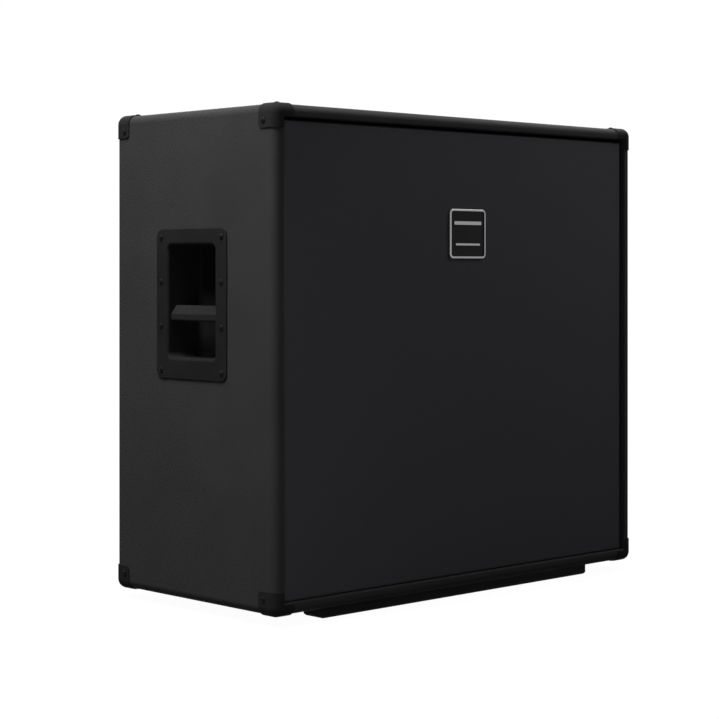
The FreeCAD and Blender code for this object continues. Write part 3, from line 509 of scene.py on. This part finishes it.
def make_cone(place):
    """Pressed paper with ribs round it, from the corrugated edge down to the voice coil."""
    centre, _, front = cone_shape(place)
    start, end = cone_rib_span
    rings = 2 * cone_ribs * cone_steps
    radii = [cone_edge, (cone_edge + end) / 2]
    radii += [end + (start - end) * i / rings for i in range(rings + 1)]
    radii += [(start + cone_bore) / 2, cone_bore]
    outline = []
    for radius in radii:
        rise = math.sin(cone_ribs * math.pi * (radius - start) / (end - start)) ** 2
        ribbed = start <= radius <= end
        outline.append((radius, front(radius) - (cone_rib_height * rise if ribbed else 0)))
    cone = make_paper(centre, outline, cone_paper)
    body = place + "_cone_assembly"
    dress(cone, place + "_ribbed_cone", body, "cone_paper", [place + "_cone"])


def corrugated(begin, end, rolls, height):
    """Points of an outline from one (radius, y) to another, in rolls that stand forward."""
    steps = rolls * roll_steps
    points = []
    for i in range(1, steps + 1):
        share = i / steps
        radius, y = (a + (b - a) * share for a, b in zip(begin, end))
        points.append((radius, y - height * abs(math.sin(math.pi * rolls * share))))
    return points


def make_surround(place):
    """The corrugated edge: flat rolls on the basket, then rolls down the slope that give with the cone."""
    centre, seat, front = cone_shape(place)
    foot = front(edge_inner) - edge_paper - edge_glue
    rim, dip, inner = (edge_rim, seat), (edge_dip, seat), (edge_inner, foot)
    outline = [(edge_outer, seat), rim]
    outline += corrugated(rim, dip, flat_rolls, flat_roll_height)
    outline += corrugated(dip, inner, slope_rolls, slope_roll_height)
    edge = make_paper(centre, outline, edge_paper)
    dress(edge, place + "_surround", None, "doped_paper", ["speaker_surrounds"])
    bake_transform(edge)


# Small things on the grille's back and on the input plate
def make_staples():
    """Staples that hold the folded cloth on the back of the frame."""
    low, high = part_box("grille_cloth")
    middle = (low + high) / 2
    reach_x = (high.x - low.x) / 2 - staple_inset
    reach_z = (high.z - low.z) / 2 - staple_inset
    count_x = int(reach_x / staple_pitch)
    count_z = int(reach_z / staple_pitch)
    columns = [i * staple_pitch for i in range(-count_x, count_x + 1)]
    levels = [i * staple_pitch for i in range(-count_z, count_z + 1)]
    flat = (staple_crown, staple_wire, staple_wire)
    upright = (staple_wire, staple_wire, staple_crown)
    rows = [(x, side * reach_z, flat) for side in (-1, 1) for x in columns]
    rows += [(side * reach_x, z, upright) for side in (-1, 1) for z in levels]
    made = []
    for x, z, size in rows:
        deselect()
        place = (middle.x + x, high.y + staple_wire / 2, middle.z + z)
        bpy.ops.mesh.primitive_cube_add(size=1, location=place)
        made.append(bpy.context.object)
        made[-1].scale = size
    staples = join(made)
    settle()
    edit_whole(staples)
    bpy.ops.mesh.bevel(offset=staple_rounding, segments=staple_rounding_steps)
    done()
    smooth(staples, staple_crease)
    dress(staples, "cloth_staples", "grille", "zinc_steel")


def make_jack_marks():
    """A printed ring round each jack."""
    low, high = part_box("jack_plate")
    jack_low, jack_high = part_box("input_jacks")
    jack = (jack_high.z - jack_low.z) / 2
    inner, outer = ring_mark_radius - ring_mark_width, ring_mark_radius
    raised = high.y + ring_mark_height
    outline = [(inner, high.y), (inner, raised), (outer, raised), (outer, high.y)]
    middle = (low.z + high.z) / 2
    places = (jack_low.x + jack, jack_high.x - jack)
    marks = join([lathe(Vector((x, high.y, middle)), outline, ring_mark_sides) for x in places])
    edit_whole(marks)
    bpy.ops.mesh.normals_make_consistent(inside=False)
    done()
    smooth(marks, ring_mark_crease)
    dress(marks, "jack_ring_marks", "cabinet", "nickel")


# Studio
def aim(thing, direction):
    """Turns a camera or a lamp in a direction, upright."""
    thing.rotation_euler = Vector(direction).to_track_quat("-Z", "Y").to_euler()


def make_camera():
    lens = bpy.data.cameras.new("camera")
    lens.lens = eye_lens
    lens.shift_y = eye_shift
    camera = bpy.data.objects.new("camera", lens)
    bpy.context.scene.collection.objects.link(camera)
    camera.location = eye_place
    aim(camera, eye_heading)
    bpy.context.scene.camera = camera


def seen_directly(tree):
    """1 for rays that show a background: from the camera, in a reflection or through glass."""
    path = tree.nodes.new("ShaderNodeLightPath")
    first = tree.nodes.new("ShaderNodeMath")
    second = tree.nodes.new("ShaderNodeMath")
    for node in (first, second):
        node.operation = "MAXIMUM"
    tree.links.new(path.outputs["Is Camera Ray"], first.inputs[0])
    tree.links.new(path.outputs["Is Glossy Ray"], first.inputs[1])
    tree.links.new(first.outputs[0], second.inputs[0])
    tree.links.new(path.outputs["Is Transmission Ray"], second.inputs[1])
    return second.outputs[0]


def make_world():
    """Plain white to look at, dim as a light."""
    world = bpy.data.worlds.new("studio")
    bpy.context.scene.world = world
    world.use_nodes = True
    tree = world.node_tree
    mix = tree.nodes.new("ShaderNodeMix")
    mix.data_type = "RGBA"
    first, second, result = MIX_SOCKETS["RGBA"]
    mix.inputs[first].default_value = grey(sky_light)
    mix.inputs[second].default_value = white
    tree.links.new(seen_directly(tree), mix.inputs["Factor"])
    tree.links.new(mix.outputs[result], tree.nodes["Background"].inputs["Color"])


def make_floor():
    """Pale, with the cabinet's shadow near it and plain white far away."""
    deselect()
    bpy.ops.mesh.primitive_plane_add(size=2 * floor_reach, location=(0, 0, 0))
    floor = bpy.context.object
    floor.name = "floor"
    f = Finish("pale_floor", (floor_pale,) * 3, roughness=0.9, Specular_IOR_Level=0.1)
    camera_ray = f.node("LightPath").outputs["Is Camera Ray"]
    f.feed("Base Color", f.mix("RGBA", camera_ray, grey(floor_bounce), grey(floor_pale)))
    away = f.node("VectorMath", {0: f.place}, operation="LENGTH").outputs["Value"]
    limits = dict(zip(("From Min", "From Max", "To Min", "To Max"), floor_fade + floor_glow))
    glow_share = f.node("MapRange", {"Value": away, **limits}).outputs["Result"]
    glow = f.node("Emission", {"Color": white}).outputs[0]
    share = f.math("MULTIPLY", seen_directly(f.tree), glow_share)
    mixed = f.node("MixShader", {0: share, 1: f.shader.outputs[0], 2: glow}).outputs[0]
    f.tree.links.new(mixed, f.tree.nodes["Material Output"].inputs["Surface"])
    floor.data.materials.append(f.material)


def make_softbox(name, place, target, size, power):
    lamp = bpy.data.lights.new(name, "AREA")
    lamp.shape = "RECTANGLE"
    lamp.size, lamp.size_y = size
    lamp.energy = power
    box = bpy.data.objects.new(name, lamp)
    bpy.context.scene.collection.objects.link(box)
    box.visible_camera = False
    box.location = place
    aim(box, Vector(target) - Vector(place))


def make_studio():
    bpy.context.scene.view_settings.view_transform = "Standard"
    make_camera()
    make_world()
    make_floor()
    for name, values in SOFTBOXES.items():
        make_softbox(name, *values)


dress_cad_nodes()
make_grille_cloth()
for cone_place in cone_places:
    make_cone(cone_place)
    make_surround(cone_place)
make_staples()
make_jack_marks()
make_studio()
